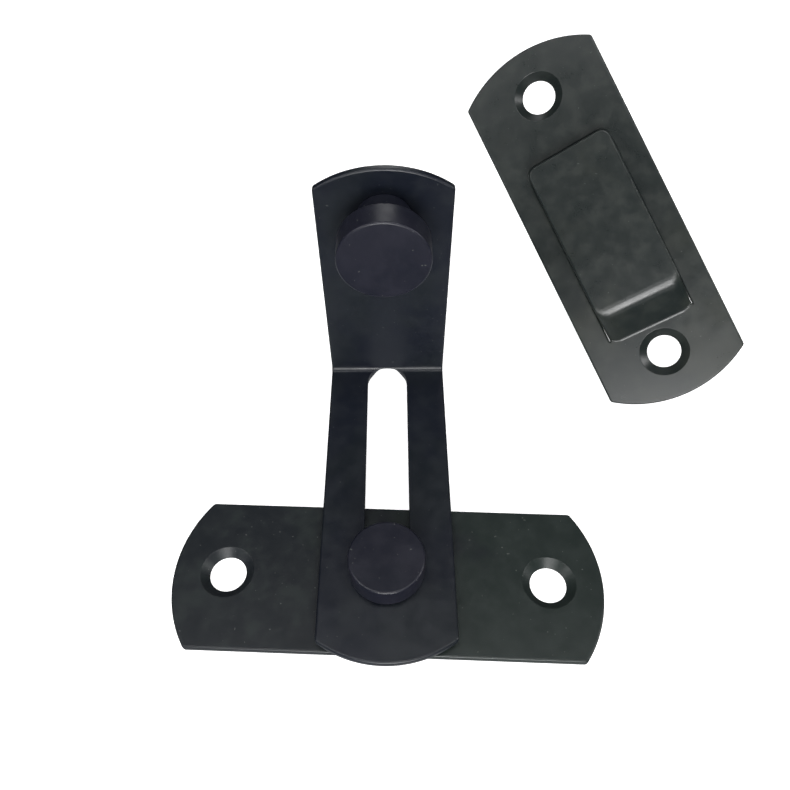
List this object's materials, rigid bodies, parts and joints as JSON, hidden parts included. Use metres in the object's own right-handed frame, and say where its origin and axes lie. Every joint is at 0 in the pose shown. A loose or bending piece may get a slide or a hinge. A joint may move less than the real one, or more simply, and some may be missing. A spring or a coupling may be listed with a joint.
{
  "type": "flip latch",
  "caption": "Black flip latch: a slotted right-angle arm with a pull knob turns and slides on a riveted pivot post on its base plate, with a loose strike plate that has a raised tongue.",
  "frame": {"origin": "on the pivot axis, in the plane of the base plate's back", "axes": "+Z along the pivot axis, away from the door; +X along the base plate; +Y towards the arm's upright leg at rest"},
  "size_m": [0.1116, 0.1133, 0.0582],
  "materials": {
    "plate_coat": "satin black coat with a fine orange peel",
    "arm_coat": "satin black coat, slightly blue",
    "turned_coat": "satin black coat over turned steel",
    "black_nylon": "matt",
    "spring_steel": "oiled",
    "screw_steel": "blackened"
  },
  "bodies": {
    "base": {"base_plate": "plate_coat", "pivot_post": "turned_coat"},
    "swivel": {"glide_washer": "black_nylon", "spring_washer": "spring_steel"},
    "arm": {"latch_arm": "arm_coat", "pull_knob": "turned_coat", "knob_screw": "screw_steel"},
    "strike": {"strike_plate": "plate_coat"}
  },
  "joints": [
    {"name": "arm_turn", "type": "hinge", "parent": "base", "child": "swivel", "pos_m": [0, 0, 0], "axis": [0, 0, 1], "continuous": true},
    {"name": "arm_slide", "type": "slide", "parent": "swivel", "child": "arm", "axis": [0.0436, -0.999, 0], "range_m": [0, 0.0412]},
    {"name": "strike_lay", "type": "hinge", "parent": "base", "child": "strike", "pos_m": [0.0336, 0.0437, 0], "axis": [0.9342, -0.3567, 0], "range_deg": [-49, 0]}
  ]
}
